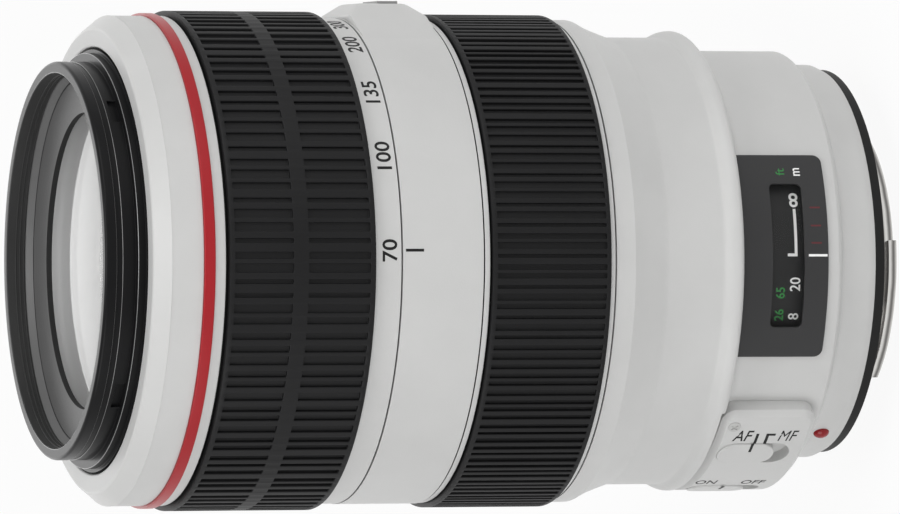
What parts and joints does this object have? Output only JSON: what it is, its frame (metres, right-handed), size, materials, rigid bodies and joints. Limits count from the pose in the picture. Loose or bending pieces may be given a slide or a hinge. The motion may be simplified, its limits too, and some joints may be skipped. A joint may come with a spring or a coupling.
{
  "type": "telephoto zoom lens",
  "caption": "White telephoto zoom lens for a reflex camera, with ribbed zoom and focus rings, a distance window, slide switches, a bayonet mount and a filter thread.",
  "frame": {"origin": "centre of the bayonet's mount face, on the optical axis", "axes": "+Z along the optical axis towards the front of the lens; the distance window, the top of the lens in use, faces -Y; +X is round from it towards the zoom lock"},
  "size_m": [0.0907, 0.0888, 0.1488],
  "materials": {
    "white_paint": "satin, fine-textured warm white enamel",
    "white_plastic": "satin moulded warm white",
    "black_anodised": "satin black anodised",
    "black_plastic": "matte black moulded",
    "grip_rubber": "matte ribbed",
    "gasket_rubber": "smooth satin",
    "red_ring": "glossy red enamel",
    "mount_steel": "fine turned, bright",
    "contact_gold": "polished gold plate",
    "coated_glass": "polished, multi-coated",
    "window_clear": "polished clear acrylic",
    "bare_aluminium": "turned",
    "brass_cam": "turned",
    "roller_polymer": "smooth",
    "motor_metal": "ground",
    "circuit_green": "solder mask",
    "blade_black": "thin, matte coated",
    "felt": "short-pile"
  },
  "bodies": {
    "lens_barrel": {"main_barrel": "white_paint", "scale_housing": "white_paint", "bayonet_mount": "mount_steel", "mount_gasket": "gasket_rubber", "rear_baffle": "black_plastic", "contact_block": "black_plastic", "contact_pins": "contact_gold", "window_plate": "black_plastic", "window_glass": "window_clear", "switch_panel": "white_plastic", "center_collar": "white_paint", "guide_tube": "black_anodised", "front_collar": "white_paint", "red_band": "red_ring", "collar_seal": "felt", "inner_barrel": "black_plastic", "motor_stator": "motor_metal", "main_circuit_board": "circuit_green", "rear_group_cell": "black_anodised", "rear_elements": "coated_glass", "stabilizer_housing": "black_plastic"},
    "zoom_ring": {"zoom_ring": "white_paint", "zoom_rubber": "grip_rubber", "cam_tube": "black_anodised", "zoom_key_screws": "bare_aluminium"},
    "extension": {"extension_barrel": "white_paint", "front_barrel": "black_anodised", "front_retaining_ring": "black_anodised", "front_elements": "coated_glass", "extension_rollers": "roller_polymer"},
    "variator": {"variator_cell": "black_anodised", "variator_elements": "coated_glass", "variator_rollers": "roller_polymer"},
    "relay": {"relay_cell": "black_anodised", "relay_elements": "coated_glass", "relay_rollers": "roller_polymer"},
    "iris_ring": {"iris_ring": "black_anodised"},
    "focus_ring": {"focus_ring": "white_paint", "focus_rubber": "grip_rubber"},
    "focus_drive": {"motor_rotor": "motor_metal", "distance_scale_drum": "black_anodised", "focus_cam": "brass_cam"},
    "focus_group": {"focus_cell": "black_anodised", "focus_elements": "coated_glass", "focus_rollers": "roller_polymer"},
    "stabilizer_carriage": {"stabilizer_carriage": "black_plastic"},
    "stabilizer_lens": {"stabilizer_lens_frame": "black_plastic", "stabilizer_elements": "coated_glass"},
    "focus_mode_switch": {"focus_mode_switch": "white_plastic"},
    "stabilizer_switch": {"stabilizer_switch": "white_plastic"},
    "stabilizer_mode_switch": {"stabilizer_mode_switch": "white_plastic"},
    "zoom_lock_lever": {"zoom_lock_lever": "black_plastic"},
    "iris_blade_1": {"iris_blade_1": "blade_black"},
    "iris_blade_2": {"iris_blade_2": "blade_black"},
    "iris_blade_3": {"iris_blade_3": "blade_black"},
    "iris_blade_4": {"iris_blade_4": "blade_black"},
    "iris_blade_5": {"iris_blade_5": "blade_black"},
    "iris_blade_6": {"iris_blade_6": "blade_black"},
    "iris_blade_7": {"iris_blade_7": "blade_black"},
    "iris_blade_8": {"iris_blade_8": "blade_black"}
  },
  "joints": [
    {"name": "zoom_ring_turn", "type": "hinge", "parent": "lens_barrel", "child": "zoom_ring", "pos_m": [0, 0, 0.1075], "axis": [0, 0, -1], "range_deg": [0, 73]},
    {"name": "extension_slide", "type": "slide", "parent": "lens_barrel", "child": "extension", "axis": [0, 0, 1], "range_m": [0, 0.053]},
    {"name": "variator_slide", "type": "slide", "parent": "lens_barrel", "child": "variator", "axis": [0, 0, 1], "range_m": [0, 0.012]},
    {"name": "relay_slide", "type": "slide", "parent": "lens_barrel", "child": "relay", "axis": [0, 0, 1], "range_m": [0, 0.018]},
    {"name": "iris_ring_turn", "type": "hinge", "parent": "relay", "child": "iris_ring", "pos_m": [0, 0, 0.068], "axis": [0, 0, 1], "range_deg": [0, 3.77]},
    {"name": "focus_ring_turn", "type": "hinge", "parent": "lens_barrel", "child": "focus_ring", "pos_m": [0, 0, 0.0644], "axis": [0, 0, 1], "range_deg": [0, 115]},
    {"name": "focus_drive_turn", "type": "hinge", "parent": "lens_barrel", "child": "focus_drive", "pos_m": [0, 0, 0.03], "axis": [0, 0, 1], "range_deg": [0, 115]},
    {"name": "focus_group_slide", "type": "slide", "parent": "lens_barrel", "child": "focus_group", "axis": [0, 0, 1], "range_m": [0, 0.006]},
    {"name": "stabilizer_x_slide", "type": "slide", "parent": "lens_barrel", "child": "stabilizer_carriage", "axis": [1, 0, 0], "range_m": [-0.0008, 0.0008], "stiffness_N_per_m": 60},
    {"name": "stabilizer_y_slide", "type": "slide", "parent": "stabilizer_carriage", "child": "stabilizer_lens", "axis": [0, 1, 0], "range_m": [-0.0008, 0.0008], "stiffness_N_per_m": 60},
    {"name": "focus_mode_slide", "type": "slide", "parent": "lens_barrel", "child": "focus_mode_switch", "axis": [0, 0, -1], "range_m": [0, 0.0029]},
    {"name": "stabilizer_switch_slide", "type": "slide", "parent": "lens_barrel", "child": "stabilizer_switch", "axis": [0, 0, -1], "range_m": [0, 0.0029]},
    {"name": "stabilizer_mode_slide", "type": "slide", "parent": "lens_barrel", "child": "stabilizer_mode_switch", "axis": [0, 0, -1], "range_m": [0, 0.0029]},
    {"name": "zoom_lock_slide", "type": "slide", "parent": "lens_barrel", "child": "zoom_lock_lever", "axis": [0, 0, 1], "range_m": [0, 0.0028]},
    {"name": "iris_blade_1_turn", "type": "hinge", "parent": "relay", "child": "iris_blade_1", "pos_m": [0.022, 0, 0.066], "axis": [0, 0, 1], "range_deg": [0, 25]},
    {"name": "iris_blade_2_turn", "type": "hinge", "parent": "relay", "child": "iris_blade_2", "pos_m": [0.01556, 0.01556, 0.066], "axis": [0, 0, 1], "range_deg": [0, 25]},
    {"name": "iris_blade_3_turn", "type": "hinge", "parent": "relay", "child": "iris_blade_3", "pos_m": [0, 0.022, 0.066], "axis": [0, 0, 1], "range_deg": [0, 25]},
    {"name": "iris_blade_4_turn", "type": "hinge", "parent": "relay", "child": "iris_blade_4", "pos_m": [-0.01556, 0.01556, 0.066], "axis": [0, 0, 1], "range_deg": [0, 25]},
    {"name": "iris_blade_5_turn", "type": "hinge", "parent": "relay", "child": "iris_blade_5", "pos_m": [-0.022, 0, 0.066], "axis": [0, 0, 1], "range_deg": [0, 25]},
    {"name": "iris_blade_6_turn", "type": "hinge", "parent": "relay", "child": "iris_blade_6", "pos_m": [-0.01556, -0.01556, 0.066], "axis": [0, 0, 1], "range_deg": [0, 25]},
    {"name": "iris_blade_7_turn", "type": "hinge", "parent": "relay", "child": "iris_blade_7", "pos_m": [0, -0.022, 0.066], "axis": [0, 0, 1], "range_deg": [0, 25]},
    {"name": "iris_blade_8_turn", "type": "hinge", "parent": "relay", "child": "iris_blade_8", "pos_m": [0.01556, -0.01556, 0.066], "axis": [0, 0, 1], "range_deg": [0, 25]}
  ],
  "couplings": [
    {"joint": "extension_slide", "follows": "zoom_ring_turn", "m_per_rad": 0.041598},
    {"joint": "variator_slide", "follows": "zoom_ring_turn", "m_per_rad": 0.0094185},
    {"joint": "relay_slide", "follows": "zoom_ring_turn", "m_per_rad": 0.014128},
    {"joint": "focus_drive_turn", "follows": "focus_ring_turn", "ratio": 1},
    {"joint": "focus_group_slide", "follows": "focus_ring_turn", "m_per_rad": 0.0029893},
    {"joint": "iris_blade_1_turn", "follows": "iris_ring_turn", "ratio": 6.6243},
    {"joint": "iris_blade_2_turn", "follows": "iris_ring_turn", "ratio": 6.6243},
    {"joint": "iris_blade_3_turn", "follows": "iris_ring_turn", "ratio": 6.6243},
    {"joint": "iris_blade_4_turn", "follows": "iris_ring_turn", "ratio": 6.6243},
    {"joint": "iris_blade_5_turn", "follows": "iris_ring_turn", "ratio": 6.6243},
    {"joint": "iris_blade_6_turn", "follows": "iris_ring_turn", "ratio": 6.6243},
    {"joint": "iris_blade_7_turn", "follows": "iris_ring_turn", "ratio": 6.6243},
    {"joint": "iris_blade_8_turn", "follows": "iris_ring_turn", "ratio": 6.6243}
  ]
}
